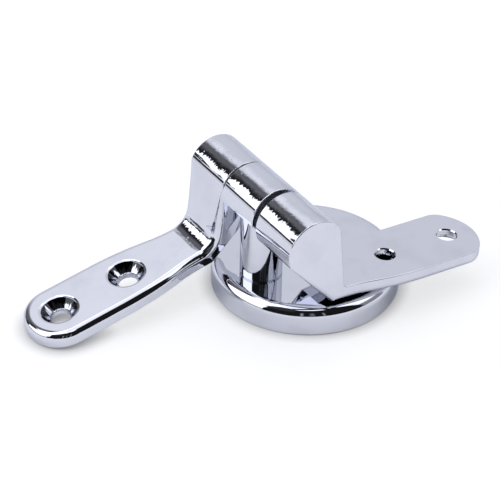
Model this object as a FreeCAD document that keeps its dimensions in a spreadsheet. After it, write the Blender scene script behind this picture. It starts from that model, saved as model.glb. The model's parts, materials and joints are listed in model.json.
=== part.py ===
import FreeCAD, Part
import math
import os
import types

import Sketcher

# Toilet seat hinge: an off-centre post on a round flange, and two cranked leaves on one pin.
# X runs along the hinge pin, +Y is the side the lid leaf lies back to, +Z is up.
# The origin is the centre of the flange's underside, where the hinge sits on the pan.

DIMENSIONS = {
    # round flange
    "flange_radius": 25.0,
    "flange_height": 7.9,
    "shoulder_radius": 2.9,
    "foot_bevel": 0.4,
    "roof_thickness": 3.4,
    "rim_land": 2.5,
    "gasket_groove_inset": 1.3,
    "gasket_width": 2.2,
    "gasket_thickness": 1.6,
    "gasket_clearance": 0.05,
    "bolt_boss_radius": 8.0,
    "bolt_hole_radius": 3.4,
    "bolt_hole_cover": 1.7,
    # post and its fixing
    "post_inset": 10.9,
    "post_radius": 5.6,
    "post_shoulder": 1.1,
    "swivel_clearance": 0.05,
    "post_boss_wall": 1.2,
    "washer_radius": 5.5,
    "washer_thickness": 0.8,
    "washer_play": 0.25,
    "screw_radius": 2.5,
    "screw_head_radius": 4.2,
    "screw_head_height": 2.0,
    "screw_head_recess": 0.4,
    "screw_reach": 9.0,
    "screw_point": 0.6,
    "screw_socket_radius": 1.5,
    "screw_socket_depth": 1.2,
    "tapping_clearance": 0.02,
    # knuckles and pin
    "axis_height": 29.3,
    "barrel_radius": 8.0,
    "knuckle_flat_inset": 2.0,
    "knuckle_flat_angle": 43.5,
    "knuckle_width": 14.3,
    "leaf_knuckle_width": 15.4,
    "lid_seam": 0.3,
    "pin_radius": 2.5,
    "knuckle_end_wall": 4.0,
    "pin_bevel": 0.5,
    "pin_press_clearance": 0.01,
    "pin_running_clearance": 0.05,
    "pin_end_play": 0.4,
    "bush_wall": 1.0,
    "bush_collar_radius": 5.6,
    "bush_collar_thickness": 1.6,
    "bush_end_play": 0.1,
    "bush_fit_clearance": 0.02,
    "soft_edge": 0.3,
    "post_foot_bevel": 0.5,
    # leaves
    "arm_thickness": 4.2,
    "flare_gain": 2.4,
    "flare_length": 24.0,
    "flare_share": 0.3,
    "edge_round": 2.1,
    "screw_hole_radius": 2.6,
    "countersink_radius": 5.1,
    "countersink_angle": 90.0,
    "hole_spacing": 20.2,
    "lid_heel_clearance": 4.0,
    "lid_riser_inset": 0.3,
    "lid_riser_lean": 19.0,
    "lid_back_inset": 0.9,
    "lid_heel_shift": 1.0,
    "lid_elbow_round": 6.0,
    "lid_tip": 64.6,
    "lid_tip_bluntness": 0.9,
    "lid_corner_inset": 1.1,
    "lid_hole_land": 2.2,
    "lid_table_clearance": 0.05,
    "seat_heel_clearance": 2.5,
    "seat_riser_inset": 0.3,
    "seat_riser_lean": 9.5,
    "seat_back_inset": 0.3,
    "seat_heel_shift": -2.9,
    "seat_elbow_round": 0.9,
    "seat_tip": 56.9,
    "seat_tip_bluntness": 1.9,
    "seat_corner_inset": 5.1,
    "seat_hole_land": 0.9,
    "seat_flange_clearance": 0.3,
}


TOUCH = 1e-6  # two lengths this close are the same


class Size(float):
    """A number that also carries the sheet formula it comes from."""

    def __new__(cls, number, formula):
        size = float.__new__(cls, number)
        size.formula = formula
        return size

    def __add__(self, other):
        return Size(float(self) + float(other), f"({self.formula} + {formula_of(other)})")

    def __radd__(self, other):
        return Size(float(other) + float(self), f"({formula_of(other)} + {self.formula})")

    def __sub__(self, other):
        return Size(float(self) - float(other), f"({self.formula} - {formula_of(other)})")

    def __rsub__(self, other):
        return Size(float(other) - float(self), f"({formula_of(other)} - {self.formula})")

    def __mul__(self, other):
        return Size(float(self) * float(other), f"({self.formula} * {formula_of(other)})")

    def __rmul__(self, other):
        return Size(float(other) * float(self), f"({formula_of(other)} * {self.formula})")

    def __truediv__(self, other):
        return Size(float(self) / float(other), f"({self.formula} / {formula_of(other)})")

    def __neg__(self):
        return Size(-float(self), f"(-{self.formula})")


def formula_of(value):
    return value.formula if isinstance(value, Size) else repr(float(value))


def sine(angle):
    return Size(math.sin(math.radians(angle)), f"sin({angle.formula})")


def cosine(angle):
    return Size(math.cos(math.radians(angle)), f"cos({angle.formula})")


def root(value):
    return Size(math.sqrt(value), f"sqrt({value.formula})")


def other_leg(hypotenuse, leg):
    """The third side of a right triangle."""
    return root(hypotenuse * hypotenuse - leg * leg)


doc = FreeCAD.newDocument("toilet_seat_hinge")
sheet = doc.addObject("Spreadsheet::Sheet", "dims")
for row, (name, number) in enumerate(DIMENSIONS.items(), start=1):
    sheet.set(f"A{row}", name)
    sheet.set(f"B{row}", str(number))
    sheet.setAlias(f"B{row}", name)
doc.recompute()
d = types.SimpleNamespace(**{name: Size(sheet.get(name), f"dims.{name}") for name in DIMENSIONS})


def bind(feature, **sizes):
    """Sets each property of a feature and ties it to the sheet."""
    for prop, size in sizes.items():
        setattr(feature, prop, float(size))
        feature.setExpression(prop, size.formula)


def new_body(label):
    body = doc.addObject("PartDesign::Body", label)
    body.Label = label
    return body


def new_sketch(body, name, role, lift=None):
    """A sketch on one of the body's own planes, lifted along the plane's normal if asked."""
    plane = next(item for item in body.Origin.OriginFeatures if item.Role == role)
    sketch = body.newObject("Sketcher::SketchObject", name)
    sketch.AttachmentSupport = [(plane, "")]
    sketch.MapMode = "FlatFace"
    if lift is not None:
        sketch.AttachmentOffset = FreeCAD.Placement(FreeCAD.Vector(0, 0, float(lift)), FreeCAD.Rotation())
        sketch.setExpression("AttachmentOffset.Base.z", lift.formula)
    return sketch


def constrain(sketch, size, kind, *where):
    index = sketch.addConstraint(Sketcher.Constraint(kind, *where, float(size)))
    if isinstance(size, Size):
        sketch.setExpression(f"Constraints[{index}]", size.formula)


def pin_point(sketch, geo, spot, point):
    """Holds one point of a sketch at its two coordinates."""
    for kind, value, axis in (("DistanceX", point[0], -2), ("DistanceY", point[1], -1)):
        if value == 0:
            sketch.addConstraint(Sketcher.Constraint("PointOnObject", geo, spot, axis))
        elif value > 0:
            constrain(sketch, value, kind, -1, 1, geo, spot)
        else:
            constrain(sketch, -value, kind, geo, spot, -1, 1)


def arc_between(start, end, radius, turn):
    """The short arc from start to end, turning left for +1 and right for -1."""
    chord_x, chord_y = end[0] - start[0], end[1] - start[1]
    half = math.hypot(chord_x, chord_y) / 2
    rise = math.sqrt(max(radius**2 - half**2, 0.0))
    centre = FreeCAD.Vector(
        (start[0] + end[0]) / 2 - turn * rise * chord_y / (2 * half),
        (start[1] + end[1]) / 2 + turn * rise * chord_x / (2 * half),
        0,
    )
    angles = [math.atan2(p[1] - centre.y, p[0] - centre.x) for p in (start, end)]
    if turn < 0:
        angles.reverse()
    circle = Part.Circle(centre, FreeCAD.Vector(0, 0, 1), float(radius))
    return Part.ArcOfCircle(circle, *angles)


def draw_loop(sketch, start, *legs):
    """A closed outline. A leg is an end point, or an end point with a radius and a turn for an arc."""
    first = None
    previous = None
    at = start
    for leg in legs:
        if len(leg) == 2:
            end = leg
            line = Part.LineSegment(FreeCAD.Vector(*at, 0), FreeCAD.Vector(*end, 0))
            geo = sketch.addGeometry(line)
            head, tail = (geo, 1), (geo, 2)
        else:
            end, radius, turn = leg
            geo = sketch.addGeometry(arc_between(at, end, radius, turn))
            head, tail = ((geo, 1), (geo, 2)) if turn > 0 else ((geo, 2), (geo, 1))
            constrain(sketch, radius, "Radius", geo)
        if previous is not None:
            sketch.addConstraint(Sketcher.Constraint("Coincident", *previous, *head))
        first = first or head
        pin_point(sketch, *tail, end)
        previous = tail
        at = end
    sketch.addConstraint(Sketcher.Constraint("Coincident", *previous, *first))


def draw_circle(sketch, centre, radius):
    circle = Part.Circle(FreeCAD.Vector(*centre, 0), FreeCAD.Vector(0, 0, 1), float(radius))
    geo = sketch.addGeometry(circle)
    pin_point(sketch, geo, 3, centre)
    constrain(sketch, radius, "Radius", geo)


def revolve(body, name, start, *legs, cut=False):
    """Turns a half section, drawn in the XZ plane, about the body's Z axis, as metal or as a cut."""
    sketch = new_sketch(body, f"{name}_section", "XZ_Plane")
    draw_loop(sketch, start, *legs)
    turned = body.newObject("PartDesign::Groove" if cut else "PartDesign::Revolution", name)
    turned.Profile = sketch
    turned.ReferenceAxis = (sketch, ["V_Axis"])
    turned.Angle = 360
    return turned


def extrude(body, name, sketch, length, kind="Pad", reverse=False, both=False):
    block = body.newObject(f"PartDesign::{kind}", name)
    block.Profile = sketch
    bind(block, Length=length)
    block.Reversed = reverse
    block.Midplane = both
    return block


def place(item, rotation=None, **position):
    """Moves a piece to its seat; each coordinate given stays tied to the sheet."""
    spot = FreeCAD.Vector(*(float(position.get(axis, 0)) for axis in "xyz"))
    item.Placement = FreeCAD.Placement(spot, rotation or FreeCAD.Rotation())
    for axis, size in position.items():
        item.setExpression(f"Placement.Base.{axis}", size.formula)
    return item


def is_level(edge, z):
    """Edges that run out along the arm at one height."""
    box = edge.BoundBox
    return box.YLength > TOUCH and abs(box.ZMin - z) < TOUCH and abs(box.ZMax - z) < TOUCH


def is_end(edge, half_width):
    """Edges round the two flat ends of a knuckle, without its bore."""
    box = edge.BoundBox
    in_plane = box.XLength < TOUCH and abs(abs(box.XMin) - half_width) < TOUCH
    return in_plane and box.YLength > TOUCH and not edge.isClosed()


def is_barrel(edge):
    return isinstance(edge.Curve, Part.Circle) and abs(edge.Curve.Radius - d.barrel_radius) < TOUCH


def leaf_rounds(shape, leaf):
    """Edge numbers with the radius at each end; up the crank the arm's round fades to a soft edge."""
    wide, thin = float(d.edge_round), float(d.soft_edge)
    rounds = []
    for number, edge in enumerate(shape.Edges, start=1):
        if is_level(edge, leaf.head_level) and not edge.isClosed():
            rounds.append((number, wide, wide))
        elif is_end(edge, half_leaf) and not is_barrel(edge):
            climbs = [vertex.Z - leaf.head_level for vertex in edge.Vertexes]
            at_arm = [-TOUCH < climb < leaf.elbow_round for climb in climbs]
            rounds.append((number, *(wide if near else thin for near in at_arm)))
    return rounds


def is_rim(edge):
    """The circles of a screw hole: its mouth, its throat and its far rim."""
    return edge.isClosed() and edge.BoundBox.ZLength < TOUCH


def soft_edges(shape, wanted):
    """The sharp edges that are wanted, all with the same small size."""
    size = float(d.soft_edge)
    return [(number, size, size) for number, edge in enumerate(shape.Edges, start=1) if wanted(edge)]


def soft_ends(shape, half_width):
    return soft_edges(shape, lambda edge: is_end(edge, half_width) and is_barrel(edge))


def dress(kind, label, base, edges):
    """Rounds or bevels numbered edges of a casting."""
    dressed = doc.addObject(f"Part::{kind}", label)
    dressed.Label = label
    dressed.Base = base
    dressed.Edges = edges
    doc.recompute()
    return dressed


# Levels of the stack that holds the post down, from the screw head up to the flange's top.
flange_top = d.flange_height
post_offset = d.flange_radius - d.post_inset
washer_level = d.screw_head_recess + d.screw_head_height
ledge_level = washer_level + d.washer_thickness
spigot_radius = d.post_radius - d.post_shoulder
spigot_bore = spigot_radius + d.swivel_clearance
washer_pocket = d.washer_radius + d.washer_play
post_boss = washer_pocket + d.post_boss_wall
groove_outside = d.flange_radius - d.gasket_groove_inset
groove_inside = groove_outside - d.gasket_width


def make_flange():
    """Cast disc: mirror top with a rounded shoulder, cored out below around two bosses and a rim."""
    body = new_body("base_flange")
    roof = flange_top - d.roof_thickness
    rim_inside = groove_inside - d.rim_land
    hole_bottom = flange_top - d.bolt_hole_cover
    revolve(
        body, "disc",
        (0, hole_bottom),
        (d.bolt_hole_radius, hole_bottom),
        (d.bolt_hole_radius, 0),
        (d.bolt_boss_radius, 0),
        (d.bolt_boss_radius, roof),
        (rim_inside, roof),
        (rim_inside, 0),
        (d.flange_radius - d.foot_bevel, 0),
        (d.flange_radius, d.foot_bevel),
        (d.flange_radius, flange_top - d.shoulder_radius),
        ((d.flange_radius - d.shoulder_radius, flange_top), d.shoulder_radius, 1),
        (0, flange_top),
        (0, hole_bottom),
    )
    for name, radius, height, kind in (
        ("post_boss", post_boss, roof + d.roof_thickness / 2, "Pad"),
        ("post_bore", spigot_bore, flange_top, "Pocket"),
        ("washer_pocket", washer_pocket, ledge_level, "Pocket"),
    ):
        outline = new_sketch(body, f"{name}_outline", "XY_Plane")
        draw_circle(outline, (0, post_offset), radius)
        extrude(body, name, outline, height, kind, reverse=kind == "Pocket")
    revolve(
        body, "gasket_groove",
        (groove_inside, 0),
        (groove_outside, 0),
        (groove_outside, d.gasket_thickness),
        (groove_inside, d.gasket_thickness),
        (groove_inside, 0),
        cut=True,
    )
    return body


def make_gasket():
    """Square-section rubber ring that fills the groove in the flange's underside."""
    body = new_body("base_gasket")
    outside = groove_outside - d.gasket_clearance
    inside = groove_inside + d.gasket_clearance
    revolve(
        body, "ring",
        (inside, 0),
        (outside, 0),
        (outside, d.gasket_thickness),
        (inside, d.gasket_thickness),
        (inside, 0),
    )
    return body


def make_post():
    """Round post cast in one with the middle knuckle; the spigot below goes through the flange."""
    body = new_body("post_casting")
    tap = d.screw_radius + d.tapping_clearance
    spigot_end = ledge_level + d.swivel_clearance
    tap_end = washer_level + d.screw_reach + d.screw_point
    revolve(
        body, "stem",
        (tap, spigot_end),
        (spigot_radius, spigot_end),
        (spigot_radius, flange_top),
        (d.post_radius - d.post_foot_bevel, flange_top),
        (d.post_radius, flange_top + d.post_foot_bevel),
        (d.post_radius, d.axis_height),
        (0, d.axis_height),
        (0, tap_end),
        (tap, tap_end),
        (tap, spigot_end),
    )
    # Half barrel on top; below the axis two flats run in to the post.
    flat_y = d.barrel_radius - d.knuckle_flat_inset
    lean = d.knuckle_flat_angle
    across = other_leg(d.barrel_radius, flat_y)
    corner_y = flat_y * cosine(lean) + across * sine(lean)
    corner_z = across * cosine(lean) - flat_y * sine(lean)
    keel_z = -(flat_y / sine(lean))
    section = new_sketch(body, "knuckle_section", "YZ_Plane", -d.knuckle_width / 2)
    axis = d.axis_height
    draw_loop(
        section,
        (corner_y, axis + corner_z),
        ((0, axis + d.barrel_radius), d.barrel_radius, 1),
        ((-corner_y, axis + corner_z), d.barrel_radius, 1),
        (0, axis + keel_z),
        (corner_y, axis + corner_z),
    )
    extrude(body, "knuckle", section, d.knuckle_width)
    bore = new_sketch(body, "pin_bore_outline", "YZ_Plane", -d.knuckle_width / 2)
    draw_circle(bore, (0, axis), d.pin_radius + d.pin_press_clearance)
    extrude(body, "pin_bore", bore, d.knuckle_width, "Pocket", reverse=True)
    doc.recompute()
    post = dress("Fillet", "post", body, soft_ends(body.Shape, half_knuckle))
    place(body, y=post_offset)
    return post


def make_screw():
    """Fixing screw under the post: round head with a socket, and a plain shank where the thread is."""
    body = new_body("post_screw")
    head_low = -d.screw_head_height
    revolve(
        body, "screw",
        (0, head_low + d.screw_socket_depth),
        (d.screw_socket_radius, head_low + d.screw_socket_depth),
        (d.screw_socket_radius, head_low),
        (d.screw_head_radius, head_low),
        (d.screw_head_radius, 0),
        (d.screw_radius, 0),
        (d.screw_radius, d.screw_reach - d.screw_point),
        (d.screw_radius - d.screw_point, d.screw_reach),
        (0, d.screw_reach),
        (0, head_low + d.screw_socket_depth),
    )
    return place(body, y=post_offset, z=washer_level)


def make_washer():
    body = new_body("post_washer")
    hole = d.screw_radius + d.washer_play
    revolve(
        body, "ring",
        (hole, 0),
        (d.washer_radius, 0),
        (d.washer_radius, d.washer_thickness),
        (hole, d.washer_thickness),
        (hole, 0),
    )
    return place(body, y=post_offset, z=washer_level)


# Where the three knuckles stand along the pin.
half_knuckle = d.knuckle_width / 2
half_leaf = d.leaf_knuckle_width / 2
arm_half_width = half_leaf + d.flare_gain
seat_seam = d.bush_end_play + d.bush_collar_thickness
lid_inner = half_knuckle + d.lid_seam
seat_inner = half_knuckle + seat_seam
bore_depth = d.leaf_knuckle_width - d.knuckle_end_wall
pin_reach = bore_depth - d.pin_end_play
along_x = FreeCAD.Rotation(FreeCAD.Vector(0, 1, 0), 90)


def make_pin():
    """Steel pin through the middle knuckle; its two ends carry the leaves."""
    body = new_body("hinge_pin")
    lid_end = lid_inner + pin_reach
    seat_end = -(seat_inner + pin_reach)
    thin = d.pin_radius - d.pin_bevel
    revolve(
        body, "pin",
        (0, seat_end),
        (thin, seat_end),
        (d.pin_radius, seat_end + d.pin_bevel),
        (d.pin_radius, lid_end - d.pin_bevel),
        (thin, lid_end),
        (0, lid_end),
        (0, seat_end),
    )
    return place(body, along_x, y=post_offset, z=d.axis_height)


bush_radius = d.pin_radius + d.pin_running_clearance + d.bush_wall
bush_length = pin_reach - d.pin_end_play


def make_bush(label, collar_face, side):
    """Nylon sleeve with a collar that bears on the middle knuckle."""
    body = new_body(label)
    inside = d.pin_radius + d.pin_running_clearance
    revolve(
        body, "sleeve",
        (inside, 0),
        (d.bush_collar_radius, 0),
        (d.bush_collar_radius, d.bush_collar_thickness),
        (bush_radius, d.bush_collar_thickness),
        (bush_radius, bush_length),
        (inside, bush_length),
        (inside, 0),
    )
    turn = FreeCAD.Rotation(FreeCAD.Vector(0, 1, 0), 90 * side)
    return place(body, turn, x=side * collar_face, y=post_offset, z=d.axis_height)


def draw_leaf_section(body, leaf):
    """Side view of a leaf: barrel, leaning riser, elbow and flat arm, all one casting."""
    barrel = d.barrel_radius
    face = -leaf.face_depth
    under = -leaf.full_depth
    riser_flat = barrel - leaf.riser_inset
    riser_rise = other_leg(barrel, riser_flat)
    lean_cos, lean_sin = cosine(leaf.riser_lean), sine(leaf.riser_lean)
    ridge = (riser_flat * lean_cos - riser_rise * lean_sin, riser_flat * lean_sin + riser_rise * lean_cos)
    elbow_y = (riser_flat + leaf.face_depth * lean_sin) / lean_cos
    # Tangent length of the elbow's round, whose corner is open by the lean beyond a right angle.
    tangent = leaf.elbow_round * (lean_cos / (1 + lean_sin))
    # The back runs from the heel straight up to the barrel, past the axis at its flat's distance.
    heel_y = elbow_y + leaf.heel_shift
    back_flat = barrel - leaf.back_inset
    reach_squared = heel_y * heel_y + leaf.full_depth * leaf.full_depth
    run = root(reach_squared - back_flat * back_flat)
    back_sin = (heel_y * run + leaf.full_depth * back_flat) / reach_squared
    back_cos = (leaf.full_depth * run - heel_y * back_flat) / reach_squared
    back_rise = other_leg(barrel, back_flat)
    back_ridge = (
        -(back_flat * back_cos) - back_rise * back_sin,
        back_rise * back_cos - back_flat * back_sin,
    )
    beyond = leaf.tip + d.edge_round
    sketch = new_sketch(body, "section", "YZ_Plane")
    draw_loop(
        sketch,
        ridge,
        (elbow_y - tangent * lean_sin, face + tangent * lean_cos),
        ((elbow_y + tangent, face), leaf.elbow_round, 1),
        (beyond, face),
        (beyond, under),
        (heel_y, under),
        back_ridge,
        ((0, barrel), barrel, -1),
        (ridge, barrel, -1),
    )
    return sketch, elbow_y + tangent


def draw_leaf_outline(body, leaf, arm_start):
    """Waste around the plan view: knuckle width at the elbow, an easy flare, and a round tip."""
    half = half_leaf
    wide = arm_half_width
    gain = d.flare_gain
    sweep = (d.flare_length * d.flare_length + gain * gain) / (2 * gain)
    joint = (half + gain * d.flare_share, arm_start + d.flare_length * d.flare_share)
    flare_end = arm_start + d.flare_length
    tip_radius = wide + leaf.tip_bluntness
    tip_centre = leaf.tip - tip_radius
    tip_corner = wide - leaf.corner_inset
    reach = tip_radius - tip_corner
    corner_x = leaf.corner_inset
    corner_y = tip_centre + other_leg(reach, corner_x)
    spread = tip_radius / reach
    tip_join = (corner_x * spread, tip_centre + (corner_y - tip_centre) * spread)
    back = -(d.barrel_radius + d.edge_round)
    far = leaf.tip + 2 * d.edge_round
    aside = wide + 2 * d.edge_round
    hollow, swell = sweep * d.flare_share, sweep * (1 - d.flare_share)
    sketch = new_sketch(body, "outline_waste", "XY_Plane")
    draw_loop(
        sketch,
        (half, back),
        (half, arm_start),
        (joint, hollow, -1),
        ((wide, flare_end), swell, 1),
        (wide, corner_y),
        (tip_join, tip_corner, 1),
        ((-tip_join[0], tip_join[1]), tip_radius, 1),
        ((-wide, corner_y), tip_corner, 1),
        (-wide, flare_end),
        ((-joint[0], joint[1]), swell, 1),
        ((-half, arm_start), hollow, -1),
        (-half, back),
        (-half, 2 * back),
        (-aside, 2 * back),
        (-aside, far),
        (aside, far),
        (aside, 2 * back),
        (half, 2 * back),
        (half, back),
    )
    return sketch


def drill_bore(body, name, radius, depth):
    """Blind hole along the pin axis, from the knuckle's -X face."""
    outline = new_sketch(body, f"{name}_outline", "YZ_Plane", -half_leaf)
    draw_circle(outline, (0, 0), radius)
    return extrude(body, name, outline, depth, "Pocket", reverse=True)


def drill_screw_holes(body, leaf):
    """Two countersunk holes along the arm, with the screw heads on the leaf's rounded side."""
    centres = new_sketch(body, "screw_centres", "XY_Plane", leaf.head_level)
    outer_hole = leaf.tip - d.edge_round - leaf.hole_land - d.countersink_radius
    for reach in (outer_hole, outer_hole - d.hole_spacing):
        draw_circle(centres, (0, reach), d.screw_hole_radius)
    doc.recompute()
    hole = body.newObject("PartDesign::Hole", "screw_holes")
    hole.Profile = centres
    hole.DepthType = "ThroughAll"
    hole.Reversed = not leaf.heads_above
    hole.HoleCutType = "Countersink"
    bind(
        hole,
        Diameter=2 * d.screw_hole_radius,
        HoleCutDiameter=2 * d.countersink_radius,
        HoleCutCountersinkAngle=d.countersink_angle,
    )


def make_leaf(label, leaf, centre_x, rotation):
    """Cranked leaf, drawn with the pin axis along X, the arm along +Y and the bore open at -X."""
    body = new_body(f"{label}_casting")
    section, arm_start = draw_leaf_section(body, leaf)
    extrude(body, "crank", section, 2 * arm_half_width, both=True)
    waste = draw_leaf_outline(body, leaf, arm_start)
    extrude(body, "trim", waste, 4 * leaf.full_depth, "Pocket", both=True)
    drill_bore(body, "bush_bore", bush_radius + d.bush_fit_clearance, bore_depth)
    if leaf.collar_depth > 0:
        drill_bore(body, "collar_seat", d.bush_collar_radius + d.bush_fit_clearance, leaf.collar_depth)
    drill_screw_holes(body, leaf)
    doc.recompute()
    rounds = leaf_rounds(body.Shape, leaf)
    if leaf.heads_above:
        # The round that fades up the riser has to be there before the barrel's ends are softened.
        crank = dress("Fillet", f"{label}_crank", body, rounds)
        crank = dress("Fillet", f"{label}_barrel", crank, soft_ends(crank.Shape, half_leaf))
    else:
        crank = dress("Fillet", f"{label}_crank", body, rounds + soft_ends(body.Shape, half_leaf))
    bevels = soft_edges(crank.Shape, lambda edge: is_rim(edge) or is_level(edge, leaf.plain_level))
    rounded = dress("Chamfer", label, crank, bevels)
    place(body, rotation, x=centre_x, y=post_offset, z=d.axis_height)
    return rounded


def leaf_sizes(prefix, heads_above, collar_depth):
    """One leaf's own sizes, with the depths below the pin axis that keep its heel above the flange."""
    start = f"{prefix}_"
    leaf = types.SimpleNamespace(heads_above=heads_above, collar_depth=collar_depth)
    for name in DIMENSIONS:
        if name.startswith(start):
            setattr(leaf, name.removeprefix(start), getattr(d, name))
    leaf.full_depth = d.axis_height - flange_top - leaf.heel_clearance
    leaf.face_depth = leaf.full_depth - d.arm_thickness
    levels = (-leaf.face_depth, -leaf.full_depth)
    leaf.head_level, leaf.plain_level = levels if heads_above else reversed(levels)
    return leaf


def resting_tilt(leaf, reach, drop):
    """Degrees that an arm dips when its underside, at this reach, lies this far below the axis."""
    span = math.hypot(reach, leaf.full_depth)
    return math.degrees(math.atan2(reach, leaf.full_depth) - math.acos(drop / span))


pin_line = FreeCAD.Vector(1, 0, 0)
about_face = FreeCAD.Rotation(FreeCAD.Vector(0, 0, 1), 180)
lid = leaf_sizes("lid", True, seat_seam - d.lid_seam)
seat = leaf_sizes("seat", False, 0)
# The lid leaf lies back with its tip on the pan; the seat leaf lies forward just clear of the flange.
lid_tilt = resting_tilt(lid, lid.tip, d.axis_height - d.lid_table_clearance)
seat_reach = post_offset + d.flange_radius - d.shoulder_radius
seat_tilt = resting_tilt(seat, seat_reach, d.axis_height - flange_top - d.seat_flange_clearance)
lid_turn = FreeCAD.Rotation(pin_line, -lid_tilt)
seat_turn = FreeCAD.Rotation(pin_line, seat_tilt).multiply(about_face)

parts = [
    make_flange(),
    make_gasket(),
    make_post(),
    make_screw(),
    make_washer(),
    make_pin(),
    make_bush("lid_bush", half_knuckle + d.bush_end_play, 1),
    make_bush("seat_bush", half_knuckle + d.bush_end_play, -1),
    make_leaf("lid_leaf", lid, lid_inner + half_leaf, lid_turn),
    make_leaf("seat_leaf", seat, -(seat_inner + half_leaf), seat_turn),
]
doc.recompute()

faults = [item.Label for item in doc.Objects if {"Invalid", "Error"} & set(item.State)]
faults += [part.Label for part in parts if part.Shape.isNull() or not part.Shape.isValid()]
for part in parts:
    print(part.Label, "volume", round(part.Shape.Volume, 1), "mm3 in", len(part.Shape.Solids), "solid")
print("leaf tilts at rest", round(lid_tilt, 3), round(seat_tilt, 3))
if faults:
    raise RuntimeError(f"these did not build: {faults}")

os.makedirs("parts", exist_ok=True)
for part in parts:
    part.Shape.exportStep(f"parts/{part.Label}.step")
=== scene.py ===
# %% [markdown]
# # A chromed hinge for a toilet seat and lid
# The hinge is a zinc casting with a bright chrome plate: a round foot flange,
# a post that swivels on it, and two cranked leaves on one pin, the long one
# for the lid and the short one for the seat. The solids come finished from
# the construction, so this lesson is about finish and light. Polished metal
# has almost no colour of its own: what the eye reads as chrome is the room.

import json
import math

import bpy
from mathutils import Matrix, Vector


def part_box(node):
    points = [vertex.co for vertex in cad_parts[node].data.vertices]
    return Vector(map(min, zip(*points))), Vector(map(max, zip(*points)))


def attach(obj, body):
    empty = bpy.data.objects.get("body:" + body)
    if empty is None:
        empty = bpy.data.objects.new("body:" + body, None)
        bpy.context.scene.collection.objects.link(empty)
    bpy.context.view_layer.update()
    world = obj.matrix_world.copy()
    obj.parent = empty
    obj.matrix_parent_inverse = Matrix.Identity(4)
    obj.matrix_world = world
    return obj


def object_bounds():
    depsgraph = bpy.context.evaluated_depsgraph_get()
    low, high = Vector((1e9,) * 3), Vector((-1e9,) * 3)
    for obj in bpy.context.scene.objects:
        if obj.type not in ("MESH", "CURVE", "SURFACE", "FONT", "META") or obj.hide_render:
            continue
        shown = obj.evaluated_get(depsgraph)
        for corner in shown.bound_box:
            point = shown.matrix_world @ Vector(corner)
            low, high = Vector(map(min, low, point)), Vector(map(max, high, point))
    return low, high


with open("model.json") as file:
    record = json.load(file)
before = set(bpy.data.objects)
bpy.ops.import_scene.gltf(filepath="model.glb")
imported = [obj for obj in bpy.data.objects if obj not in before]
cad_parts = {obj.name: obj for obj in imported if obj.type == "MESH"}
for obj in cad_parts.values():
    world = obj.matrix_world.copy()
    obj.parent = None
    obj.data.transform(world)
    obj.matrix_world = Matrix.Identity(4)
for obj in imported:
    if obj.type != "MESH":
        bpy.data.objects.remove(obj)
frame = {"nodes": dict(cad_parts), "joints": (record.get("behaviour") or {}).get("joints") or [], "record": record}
solid_box = [list(corner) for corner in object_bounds()]
nodes = frame["nodes"]
floor_level = solid_box[0][2]
MM = 0.001


def in_mm(box):
    return [round((high - low) / MM, 1) for low, high in zip(*box)]


print("pieces:", ", ".join(sorted(nodes)))
print("size in mm:", in_mm(solid_box))

# %% [markdown]
# ## The camera
# The picture was taken with a long lens from the left, looking down at about
# 36 degrees. Its place was found by matching outlines of the solids to the
# picture, so it is written as a point and two directions. A long lens keeps
# the far and the near leaf at nearly the same scale.

# %% Camera
IMAGE_SIDE = 500
FOCAL_PIXELS = 2158.653
SENSOR_WIDTH = 36.0
CLIP_START = 0.01
EYE = Vector((-0.376839, 0.268533, 0.340572))
TO_THE_RIGHT = Vector((-0.54363, -0.839144, 0.017403))
DOWNWARDS = Vector((-0.497018, 0.305141, -0.812319))

lens = bpy.data.cameras.new("product_lens")
lens.sensor_width = SENSOR_WIDTH
lens.lens = FOCAL_PIXELS * SENSOR_WIDTH / IMAGE_SIDE
lens.clip_start = CLIP_START
camera = bpy.data.objects.new("product_camera", lens)
axes = Matrix((TO_THE_RIGHT, -DOWNWARDS, -TO_THE_RIGHT.cross(DOWNWARDS))).transposed()
camera.matrix_world = Matrix.Translation(EYE) @ axes.to_4x4()
bpy.context.scene.collection.objects.link(camera)
bpy.context.scene.camera = camera
bpy.context.scene.view_settings.view_transform = "Standard"
print("lens:", round(lens.lens, 1), "mm")

# %% [markdown]
# ## A short way to write shaders
# A node tree drawn by hand soon becomes a tangle. Here a `Wire` stands for
# one socket, and sums or products of wires add their own Math nodes, so a
# pattern reads like the formula it is. Every other node comes from
# `Bench.make`: its type, its settings, then what goes into its sockets. The
# few nodes that are used again and again get a short name of their own.


# %% Wires
class Wire:
    def __init__(self, bench, socket):
        self.bench = bench
        self.socket = socket

    def __add__(self, other):
        return self.bench.math("ADD", self, other)

    def __sub__(self, other):
        return self.bench.math("SUBTRACT", self, other)

    def __rsub__(self, other):
        return self.bench.math("SUBTRACT", other, self)

    def __mul__(self, other):
        return self.bench.math("MULTIPLY", self, other)

    __radd__ = __add__
    __rmul__ = __mul__


print("wires add, subtract and multiply")


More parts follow.
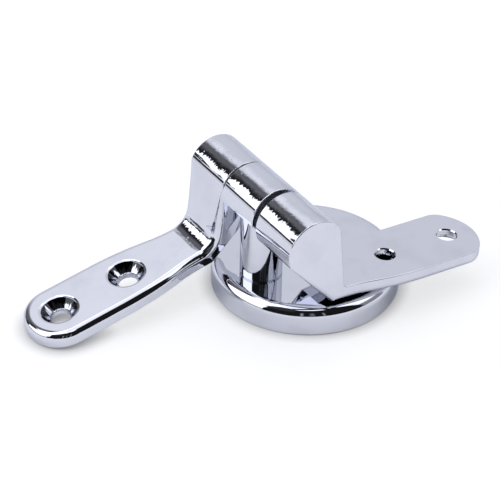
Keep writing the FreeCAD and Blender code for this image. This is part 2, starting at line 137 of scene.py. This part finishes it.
# %% The bench they lie on
class Bench:
    def __init__(self, tree):
        self.tree = tree
        tree.nodes.clear()

    def make(self, kind, settings=None, sockets=None, out=0):
        node = self.tree.nodes.new(kind)
        for name, value in (settings or {}).items():
            setattr(node, name, value)
        for key, value in (sockets or {}).items():
            socket = self.find(node.inputs, key)
            if isinstance(value, Wire):
                self.tree.links.new(value.socket, socket)
            else:
                socket.default_value = value
        return Wire(self, self.find(node.outputs, out)) if node.outputs else None

    @staticmethod
    def find(sockets, key):
        """A socket by its number, its identifier or its name, tried in that order."""
        if isinstance(key, int):
            return sockets[key]
        for socket in sockets:
            if socket.identifier == key:
                return socket
        return sockets[key]

    def outputs(self, wire):
        """All the outputs of the node that a wire comes from, by name."""
        return {socket.name: Wire(self, socket) for socket in wire.socket.node.outputs}

    def axes(self, place):
        split = self.make("ShaderNodeSeparateXYZ", None, {"Vector": place})
        return self.outputs(split).values()

    def math(self, operation, *values):
        return self.make("ShaderNodeMath", {"operation": operation}, dict(enumerate(values)))

    def vector_math(self, operation, *values, out="Value"):
        return self.make("ShaderNodeVectorMath", {"operation": operation},
                         dict(enumerate(values)), out=out)

    def bearing(self, x, y, zero):
        """The angle of a flat point in radians, counted from a direction given in degrees."""
        c = math.cos(math.radians(zero))
        s = math.sin(math.radians(zero))
        return self.math("ARCTAN2", y * c - x * s, x * c + y * s)

    def fade(self, value, start, end):
        return self.make("ShaderNodeMapRange", {"interpolation_type": "SMOOTHSTEP"},
                         {"Value": value, "From Min": start, "From Max": end})

    def blend(self, factor, first, second):
        return self.make("ShaderNodeMix", {"data_type": "RGBA"},
                         {"Factor_Float": factor, "A_Color": first, "B_Color": second},
                         out="Result_Color")

    def noise(self, place, scale, detail=2.0, roughness=0.5):
        return self.make("ShaderNodeTexNoise", {"noise_dimensions": "3D"},
                         {"Vector": place, "Scale": scale, "Detail": detail,
                          "Roughness": roughness}, out="Fac")

    def bump(self, height, depth, strength=1.0):
        return self.make("ShaderNodeBump", None,
                         {"Strength": strength, "Distance": depth, "Height": height})


print("bench ready")

# %% [markdown]
# ## The light tent
# Polished parts are photographed in a white tent with one open side for the
# camera: bright panels give the white bands, the dark opening gives the black
# ones, and both are needed for metal to look like metal. The tent could be
# built from planes, but painted on the world by compass direction it has no
# grain and no seams. Each panel is a patch of sky with soft edges, given by
# its middle azimuth, its half width, and the heights between which it hangs.
# They go on in order, so a later panel covers an earlier one. Left and right
# are as the camera sees them.

# %% Tent panels
# azimuth, half width, lower, upper, side edge, level edge, brightness
PANELS = {
    "roof_middle": (0.0, 200.0, 66.0, 100.0, 1.0, 3.0, 1.25),
    "back_wall": (-26.0, 30.0, -90.0, 62.0, 13.0, 3.0, 0.83),
    "back_wall_top": (-17.0, 21.0, 42.0, 64.0, 8.0, 5.0, 1.06),
    "right_wall": (-85.0, 36.0, -90.0, 52.0, 6.0, 5.0, 0.80),
    "right_wall_end": (-131.0, 15.0, -90.0, 30.0, 3.0, 6.0, 0.30),
    "right_lamp": (-131.0, 16.0, 30.0, 75.0, 2.0, 4.0, 1.55),
    "right_wall_top": (-85.0, 36.0, 52.0, 75.0, 6.0, 5.0, 1.20),
    "left_corner": (30.0, 25.0, -90.0, 56.0, 15.0, 3.0, 0.16),
    "left_corner_gap": (39.0, 14.0, 2.0, 42.0, 8.0, 4.0, 0.02),
    "left_lamp": (67.5, 30.0, 10.5, 80.0, 1.2, 1.2, 2.00),
    "left_lamp_sill": (67.5, 31.0, 5.5, 9.5, 1.5, 0.8, 0.05),
    "left_wall_foot": (67.5, 31.0, -90.0, 5.0, 1.5, 0.8, 0.85),
    "opening_strip_left": (143.0, 1.6, 4.0, 34.0, 1.0, 6.0, 0.34),
    "opening_strip_middle": (155.0, 2.4, 4.0, 34.0, 1.5, 6.0, 0.16),
    "opening_strip_right": (168.0, 1.4, 4.0, 34.0, 1.0, 6.0, 0.30),
    "roof_rim": (0.0, 200.0, 63.0, 71.0, 1.0, 2.5, 2.00),
    "right_black_card": (198.0, 15.0, 40.0, 72.0, 2.0, 3.0, 0.012),
    "left_black_card": (112.0, 20.0, 40.0, 71.0, 5.0, 3.0, 0.040),
}
DARK_ROOM = 0.012
COOL_WHITE = (0.952, 0.968, 1.060, 1.0)
PLAIN_WHITE = (1.0, 1.0, 1.0, 1.0)
TO_DEGREES = math.degrees(1.0)


def paint_tent(world):
    world.use_nodes = True
    bench = Bench(world.node_tree)
    x, y, z = bench.axes(bench.make("ShaderNodeTexCoord", out="Generated"))
    height = bench.math("ARCSINE", z) * TO_DEGREES

    def between(value, low, high, edge):
        past_low = bench.fade(value, low - edge, low + edge)
        past_high = bench.fade(value, high - edge, high + edge)
        return past_low * (1 - past_high)

    glow = DARK_ROOM
    for azimuth, half_width, lower, upper, side, level, brightness in PANELS.values():
        swing = bench.bearing(x, y, azimuth) * TO_DEGREES
        patch = between(swing, -half_width, half_width, side) * between(height, lower, upper, level)
        glow = glow + patch * (brightness - glow)

    rays = bench.make("ShaderNodeLightPath", out="Is Camera Ray")
    tent = bench.make("ShaderNodeBackground", None, {"Color": COOL_WHITE, "Strength": glow})
    white = bench.make("ShaderNodeBackground", None, {"Color": PLAIN_WHITE})
    seen = bench.make("ShaderNodeMixShader", None, {0: rays, 1: tent, 2: white})
    bench.make("ShaderNodeOutputWorld", None, {"Surface": seen})
    return len(world.node_tree.nodes)


tent_world = bpy.data.worlds.new("light_tent")
bpy.context.scene.world = tent_world
print("tent panels:", len(PANELS), "nodes:", paint_tent(tent_world))

# %% [markdown]
# ## The white table
# The table is one large white sheet under the hinge. To the camera it shows
# mostly an even white of its own with a faint shadow, as in a cut-out
# picture, and no extra light falls on the part for it. In the last few
# millimetres before the metal, where the sheet is shut in, an occlusion test
# dims that glow: a contact shadow painted into it. The polished metal sees
# the same sheet with more of its real shading, which is why the side of the
# foot is a little darker than the ground it stands on.

# %% Table
TABLE_HALF = 3.0
CONTACT_REACH = 4.0 * MM
CONTACT_RAYS = 8
# grey of the matt paper, strength and colour of its glow
PAPER_TO_CAMERA = (0.42, 0.68, PLAIN_WHITE)
PAPER_TO_METAL = (0.94, 0.16, COOL_WHITE)


def paper_layer(bench, shown, grey, glow, tint):
    matt = bench.make("ShaderNodeBsdfDiffuse", None, {"Color": (grey, grey, grey, 1.0)})
    light = bench.make("ShaderNodeEmission", None, {"Color": tint, "Strength": shown * glow})
    return bench.make("ShaderNodeAddShader", None, {0: matt, 1: light})


def table_paper():
    paper = bpy.data.materials.new("table_paper")
    paper.use_nodes = True
    bench = Bench(paper.node_tree)
    rays = bench.outputs(bench.make("ShaderNodeLightPath"))
    to_camera = rays["Is Camera Ray"]
    mirrored = bench.math("MAXIMUM", rays["Is Glossy Ray"], rays["Is Transmission Ray"])
    # painted contact shadow: near the metal the occlusion test dims the table's glow for the camera
    painted_contact_shade = bench.make("ShaderNodeAmbientOcclusion", {"samples": CONTACT_RAYS},
                          {"Distance": CONTACT_REACH}, out="AO")
    direct = paper_layer(bench, to_camera * painted_contact_shade, *PAPER_TO_CAMERA)
    reflected = paper_layer(bench, mirrored, *PAPER_TO_METAL)
    both = bench.make("ShaderNodeMixShader", None, {0: to_camera, 1: reflected, 2: direct})
    bench.make("ShaderNodeOutputMaterial", None, {"Surface": both})
    return paper


def lay_table():
    corners = [(-TABLE_HALF, -TABLE_HALF), (TABLE_HALF, -TABLE_HALF),
               (TABLE_HALF, TABLE_HALF), (-TABLE_HALF, TABLE_HALF)]
    sheet = bpy.data.meshes.new("white_table")
    sheet.from_pydata([(a, b, floor_level) for a, b in corners], [], [(0, 1, 2, 3)])
    sheet.materials.append(table_paper())
    table = bpy.data.objects.new("white_table", sheet)
    bpy.context.scene.collection.objects.link(table)
    return table


print("table:", lay_table().name)

# %% [markdown]
# ## Bright chrome
# The plate is a few thousandths of a millimetre of chromium over nickel. It
# reflects about seven tenths of the light, a little more of the blue, which
# is why chrome looks cool beside silver. A perfect mirror of that colour
# would look drawn, because a real plate follows the casting under it, and its
# reflections are never quite straight. That unevenness is at most about a
# tenth of a millimetre deep, so it is a bump and not a shape. It is written in
# real millimetres on Object coordinates, and so it stays on a leaf that turns.
#
# First come the places where the polishing belt lifts off and leaves a
# coarser cast skin: the tops of the barrels, the inner corner of the lid leaf
# and the side of its tip. Each is a mask with a soft edge, because the belt
# lifts off little by little.

# %% Cast skin
lid_hinge = next(joint for joint in frame["joints"] if joint["name"] == "lid_hinge")
PIN_LINE = lid_hinge["pos_m"][1:]
ELBOW_LINE = (25.6 * MM, 14.6 * MM)
LID_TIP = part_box("lid_leaf")[1][1]
# each pair says where a mask starts to fade and where it ends
FROM_PIN = (8.4 * MM, 9.2 * MM)
OVER_PIN = (4.4 * MM, 5.4 * MM)
FROM_ELBOW = (2.2 * MM, 3.2 * MM)
ALONG_LID = (LID_TIP - 16.0 * MM, LID_TIP - 8.0 * MM)
UNDER_FACE = (3.0 * MM, 3.2 * MM)
SINK_SIDE = {"lid_screw": 1.0, "seat_screw": -1.0}
SCREW_HOLES = [(mount["pos_m"], [side * part for part in mount["axis"]])
               for mount in frame["record"]["mounts"]
               for leaf, side in SINK_SIDE.items() if mount["name"].startswith(leaf)]
LID_HOLE = SCREW_HOLES[0]


def height_over(bench, place, middle, axis):
    arm = bench.vector_math("SUBTRACT", place, middle, out="Vector")
    return bench.vector_math("DOT_PRODUCT", arm, axis)


def unpolished(bench, place):
    _, y, z = bench.axes(place)

    def near_line(line, near, far):
        side, up = y - line[0], z - line[1]
        return 1 - bench.fade(bench.math("SQRT", side * side + up * up), near, far)

    barrel_tops = near_line(PIN_LINE, *FROM_PIN) * bench.fade(z - PIN_LINE[1], *OVER_PIN)
    cast_skin = barrel_tops + near_line(ELBOW_LINE, *FROM_ELBOW)
    lid_face = height_over(bench, place, *LID_HOLE)
    lid_tip = bench.fade(y, *ALONG_LID) * (1 - bench.fade(lid_face, *UNDER_FACE))
    return cast_skin, lid_tip


print("pin line in mm:", [round(part / MM, 2) for part in PIN_LINE])
print("lid tip in mm:", round(LID_TIP / MM, 1))

# %% [markdown]
# ## Inside the countersinks
# The countersinks keep the chatter ribs of their cutter, as a noise that runs
# round each hole and not along it. Under each brim a dark ragged ring of
# painted shade is put into the colour of the plate. The ribs could be cut
# into the solids, but they are as fine as the cast skin, so they join its bump.

# %% Countersinks
SINK_REACH = (5.7 * MM, 6.1 * MM)
SINK_FLOOR = (0.2 * MM, 0.8 * MM)
SINK_FOOT = (-0.6 * MM, -0.2 * MM)
SINK_TEETH = 4.6 * MM
# the ribs start and end opposite this bearing, on the wall turned from the camera
RIBS_ZERO = -34.0
RIBS_PER_RADIAN = 3.2
RIBS_DETAIL = 2.0
RIBS_SHIFT_PER_MM = 20.0


def countersinks(bench, place):
    x, y, _ = bench.axes(place)
    chatter, painted_shade = 0.0, 0.0
    for middle, axis in SCREW_HOLES:
        height = height_over(bench, place, middle, axis)
        reach = bench.vector_math("DISTANCE", place, middle)
        inside = (1 - bench.fade(reach, *SINK_REACH)) * bench.fade(height, *SINK_FLOOR)
        turn = bench.bearing(x - middle[0], y - middle[1], RIBS_ZERO)
        ribs = bench.make("ShaderNodeTexNoise", {"noise_dimensions": "1D"},
                          {"W": turn + RIBS_SHIFT_PER_MM * middle[1] / MM,
                           "Scale": RIBS_PER_RADIAN, "Detail": RIBS_DETAIL})
        chatter = chatter + ribs * inside
        under_brim = 1 - bench.fade(height, *UNDER_FACE)
        ragged_foot = bench.fade(height - ribs * SINK_TEETH, *SINK_FOOT)
        # painted shade: a dark ragged ring under each brim of the countersinks
        painted_shade = painted_shade + inside * under_brim * ragged_foot
    return chatter, painted_shade


print("countersinks:", len(SCREW_HOLES))

# %% [markdown]
# ## The plate
# Everywhere else the belt leaves a slow waviness, and a trace of peel as in
# paint. Small pits and wiping marks break the brightest bands. The weights
# say how high each kind of wave stands on the plate, on the cast skin and on
# the lid leaf's tip, so one sum gives the whole relief.

# %% Waves, pits and marks
BELT = {"scale": 0.22 / MM, "detail": 2.0}
PEEL = {"scale": 1.1 / MM, "detail": 1.5, "roughness": 0.45}
WANDER = {"scale": 0.30 / MM, "detail": 1.0}
SWELL = {"scale": 0.11 / MM, "detail": 0.0}
NOISE_MIDDLE = 0.5
PITS_SCALE = 0.55 / MM
PIT_EDGE = (0.04, 0.14)
HAZE = {"scale": 0.11 / MM, "detail": 3.0}
HAZE_EDGE = (0.46, 0.70)
WIPE = {"scale": 0.5 / MM, "detail": 3.0, "roughness": 0.6}
WIPE_TURN = (0.3, 0.2, 0.5)
WIPE_STRETCH = (1.0, 14.0, 14.0)
SCRATCH_EDGE = (0.64, 0.74)


def plate_waves(bench, place):
    pits = bench.make("ShaderNodeTexVoronoi", {"feature": "F1"},
                      {"Vector": place, "Scale": PITS_SCALE}, out="Distance")
    return {"belt": bench.noise(place, **BELT),
            "peel": bench.noise(place, **PEEL),
            "wander": bench.noise(place, **WANDER),
            "swell": bench.noise(place, **SWELL) - NOISE_MIDDLE,
            "pit": 1 - bench.fade(pits, *PIT_EDGE)}


def plate_marks(bench, place):
    along = bench.make("ShaderNodeMapping", None,
                       {"Vector": place, "Rotation": WIPE_TURN, "Scale": WIPE_STRETCH})
    haze = bench.fade(bench.noise(place, **HAZE), *HAZE_EDGE)
    scratch = bench.fade(bench.noise(along, **WIPE), *SCRATCH_EDGE)
    return haze, scratch


print("longest wave:", round(1.0 / (SWELL["scale"] * MM), 1), "mm")

# %% Chrome
CHROME_BRIGHT = (0.705, 0.715, 0.760, 1.0)
CHROME_HAZED = (0.630, 0.640, 0.685, 1.0)
# colour of the ring of painted shade under the countersink brims
CHROME_PAINTED_SHADE = (0.045, 0.045, 0.050, 1.0)
EDGE_TINT = (0.72, 0.74, 0.79, 1.0)
RELIEF_DEPTH = 0.04 * MM
# heights in parts of that depth
ON_PLATE = {"belt": 0.5, "peel": 0.06, "pit": -0.03}
ON_CAST_SKIN = {"peel": 0.75, "wander": 1.6, "swell": 9.0, "pit": -0.9}
ON_LID_TIP = {"peel": 0.5, "wander": 1.2}
RIB_HEIGHT = 1.6
HAZE_SHADE = 0.55
PIT_SHADE = 0.4
POLISH = 0.024
HAZE_ROUGH = 0.02
SCRATCH_ROUGH = 0.03
PIT_ROUGH = 0.12


def new_finish(name):
    finish = bpy.data.materials.new(name)
    finish.use_nodes = True
    bench = Bench(finish.node_tree)
    place = bench.make("ShaderNodeTexCoord", out="Object")
    return finish, bench, place


def close_finish(bench, **sockets):
    skin = bench.make("ShaderNodeBsdfPrincipled", None,
                      {key.replace("_", " "): value for key, value in sockets.items()})
    bench.make("ShaderNodeOutputMaterial", None, {"Surface": skin})


def bright_chrome():
    finish, bench, place = new_finish("bright_chrome")
    cast_skin, lid_tip = unpolished(bench, place)
    chatter, painted_shade = countersinks(bench, place)
    waves = plate_waves(bench, place)
    haze, scratch = plate_marks(bench, place)
    pit = waves["pit"]

    def heights(weights):
        return sum(waves[name] * weight for name, weight in weights.items())

    relief = (heights(ON_PLATE) + heights(ON_CAST_SKIN) * cast_skin
              + heights(ON_LID_TIP) * lid_tip + chatter * RIB_HEIGHT)
    plate = bench.blend(haze * HAZE_SHADE + pit * PIT_SHADE, CHROME_BRIGHT, CHROME_HAZED)
    close_finish(bench,
                 # the countersinks' ring of painted shade darkens the base colour here
                 Base_Color=bench.blend(painted_shade, plate, CHROME_PAINTED_SHADE),
                 Metallic=1.0,
                 Specular_Tint=EDGE_TINT,
                 Roughness=POLISH + haze * HAZE_ROUGH + scratch * SCRATCH_ROUGH + pit * PIT_ROUGH,
                 Normal=bench.bump(relief, RELIEF_DEPTH))
    return finish


chrome = bright_chrome()
print("chrome nodes:", len(chrome.node_tree.nodes))

# %% [markdown]
# ## Steel, nylon and rubber
# Three plainer materials sit out of the light. The pin, the screw and the
# washer are turned steel with fine tool lines: a noise squeezed two ways and
# left long the third way is enough for that. The bushes are black moulded
# nylon, slightly waxy, and they are the dark line between the barrels. The
# gasket in the foot is rubber with a dull bloom.

# %% Turned steel
STEEL_CLEAN = (0.56, 0.57, 0.58, 1.0)
STEEL_STAINED = (0.40, 0.39, 0.37, 1.0)
GRAIN = {"scale": 1.6 / MM, "detail": 3.0, "roughness": 0.6}
GRAIN_HEIGHT = 0.3
TOOL_LINES = {"scale": 0.7 / MM, "detail": 2.0}
LINES_SQUEEZE = (9.0, 1.0, 9.0)
STAIN = {"scale": 0.35 / MM, "detail": 3.0}
STAIN_EDGE = (0.5, 0.75)
STEEL_DEPTH = 0.02 * MM
STEEL_ROUGH = 0.22
LINES_ROUGH = 0.12
STAIN_ROUGH = 0.1


def turned_steel():
    finish, bench, place = new_finish("turned_steel")
    grain = bench.noise(place, **GRAIN)
    squeezed = bench.make("ShaderNodeMapping", None, {"Vector": place, "Scale": LINES_SQUEEZE})
    lines = bench.noise(squeezed, **TOOL_LINES)
    stain = bench.fade(bench.noise(place, **STAIN), *STAIN_EDGE)
    close_finish(bench,
                 Base_Color=bench.blend(stain, STEEL_CLEAN, STEEL_STAINED),
                 Metallic=1.0,
                 Roughness=STEEL_ROUGH + lines * LINES_ROUGH + stain * STAIN_ROUGH,
                 Normal=bench.bump(lines + grain * GRAIN_HEIGHT, STEEL_DEPTH, strength=0.6))
    return finish


steel = turned_steel()
print("steel nodes:", len(steel.node_tree.nodes))

# %% Moulded nylon
NYLON_DARK = (0.016, 0.016, 0.018, 1.0)
NYLON_WORN = (0.030, 0.030, 0.032, 1.0)
CLOUD = {"scale": 0.5 / MM, "detail": 3.0}
CLOUD_HEIGHT = 0.4
SAND = {"scale": 6.0 / MM, "detail": 2.0}
NYLON_DEPTH = 0.02 * MM
NYLON_ROUGH = 0.38
CLOUD_ROUGH = 0.14


def moulded_nylon():
    finish, bench, place = new_finish("moulded_nylon")
    cloud = bench.noise(place, **CLOUD)
    sand = bench.noise(place, **SAND)
    close_finish(bench,
                 Base_Color=bench.blend(cloud, NYLON_DARK, NYLON_WORN),
                 Roughness=NYLON_ROUGH + cloud * CLOUD_ROUGH,
                 Normal=bench.bump(sand + cloud * CLOUD_HEIGHT, NYLON_DEPTH, strength=0.4))
    return finish


nylon = moulded_nylon()
print("nylon nodes:", len(nylon.node_tree.nodes))

# %% Gasket rubber
RUBBER_DARK = (0.075, 0.077, 0.08, 1.0)
RUBBER_BLOOMED = (0.15, 0.15, 0.152, 1.0)
BLOOM = {"scale": 0.18 / MM, "detail": 4.0, "roughness": 0.6}
BLOOM_EDGE = (0.42, 0.72)
GRIT = {"scale": 4.0 / MM, "detail": 3.0, "roughness": 0.7}
RUBBER_DEPTH = 0.03 * MM
RUBBER_ROUGH = 0.62
BLOOM_ROUGH = 0.2


def gasket_rubber():
    finish, bench, place = new_finish("grey_rubber")
    bloom = bench.fade(bench.noise(place, **BLOOM), *BLOOM_EDGE)
    grit = bench.noise(place, **GRIT)
    close_finish(bench,
                 Base_Color=bench.blend(bloom, RUBBER_DARK, RUBBER_BLOOMED),
                 Roughness=RUBBER_ROUGH + bloom * BLOOM_ROUGH,
                 Normal=bench.bump(grit, RUBBER_DEPTH, strength=0.5))
    return finish


rubber = gasket_rubber()
print("rubber nodes:", len(rubber.node_tree.nodes))

# %% [markdown]
# ## Dressing the pieces
# Every solid brings a plain material that is named for its slot in the
# part's record. A finish could be chosen piece by piece, but going by the
# slot leaves the solids alone and dresses a new piece without a new line.

# %% Dress the pieces
FINISHES = {"chrome": chrome, "steel": steel, "bush_plastic": nylon, "gasket_rubber": rubber}
for name, piece in nodes.items():
    for slot in piece.material_slots:
        slot.material = FINISHES[slot.material.name]
    print(name, "->", piece.material_slots[0].material.name)

# %% [markdown]
# ## The thread in the foot
# A long bolt comes up through the pan into the middle of the foot, so the
# blind hole there is tapped, through the plate and into bare metal. A thread
# is one small tooth swept along a helix, which is a rule, so Geometry Nodes
# make it: a spiral of constant radius, a three-cornered tooth, and the sizes
# as inputs. It is far too fine to be worth a solid of its own.

# %% Thread tree
HELIX_STEPS = 48
TOOTH_CORNERS = 3
THREAD = {"Radius": 3.36 * MM, "Pitch": 1.25 * MM, "Turns": 4.6,
          "Tooth": 0.42 * MM, "Start": 0.4 * MM}


def thread_tree(finish):
    tree = bpy.data.node_groups.new("tapped_thread", "GeometryNodeTree")
    tree.interface.new_socket("Geometry", in_out="OUTPUT", socket_type="NodeSocketGeometry")
    inputs = {name: tree.interface.new_socket(name, in_out="INPUT", socket_type="NodeSocketFloat")
              for name in THREAD}
    bench = Bench(tree)
    size = bench.outputs(bench.make("NodeGroupInput"))
    helix = bench.make("GeometryNodeCurveSpiral", None,
                       {"Resolution": HELIX_STEPS, "Rotations": size["Turns"],
                        "Start Radius": size["Radius"], "End Radius": size["Radius"],
                        "Height": size["Pitch"] * size["Turns"]})
    upright = bench.make("GeometryNodeSetCurveNormal", {"mode": "Z_UP"}, {"Curve": helix})
    profile = bench.make("GeometryNodeCurvePrimitiveCircle", {"mode": "RADIUS"},
                         {"Resolution": TOOTH_CORNERS, "Radius": size["Tooth"]}, out="Curve")
    ridge = bench.make("GeometryNodeCurveToMesh", None,
                       {"Curve": upright, "Profile Curve": profile, "Fill Caps": True})
    lift = bench.make("ShaderNodeCombineXYZ", None, {"Z": size["Start"]})
    lifted = bench.make("GeometryNodeTransform", None, {"Geometry": ridge, "Translation": lift})
    real = bench.make("GeometryNodeRealizeInstances", None, {"Geometry": lifted})
    painted = bench.make("GeometryNodeSetMaterial", None, {"Geometry": real, "Material": finish})
    bench.make("NodeGroupOutput", None, {"Geometry": painted})
    return tree, {name: socket.identifier for name, socket in inputs.items()}


tree, identifiers = thread_tree(steel)
print("thread inputs:", ", ".join(identifiers))


# %% Tapped thread
def plain_mesh(name, tree, values):
    """Runs a tree on an empty carrier and keeps the result as an ordinary mesh."""
    carrier = bpy.data.objects.new(f"{name}_carrier", bpy.data.meshes.new(f"{name}_carrier"))
    bpy.context.scene.collection.objects.link(carrier)
    modifier = carrier.modifiers.new(name, "NODES")
    modifier.node_group = tree
    for identifier, value in values.items():
        modifier[identifier] = value
    bpy.context.view_layer.update()
    graph = bpy.context.evaluated_depsgraph_get()
    mesh = bpy.data.meshes.new_from_object(carrier.evaluated_get(graph))
    carrier.modifiers.remove(modifier)
    bpy.data.objects.remove(carrier)
    piece = bpy.data.objects.new(name, mesh)
    bpy.context.scene.collection.objects.link(piece)
    return piece


thread = plain_mesh("bolt_thread", tree, {identifiers[name]: size for name, size in THREAD.items()})
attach(thread, "base")
print("thread faces:", len(thread.data.polygons))
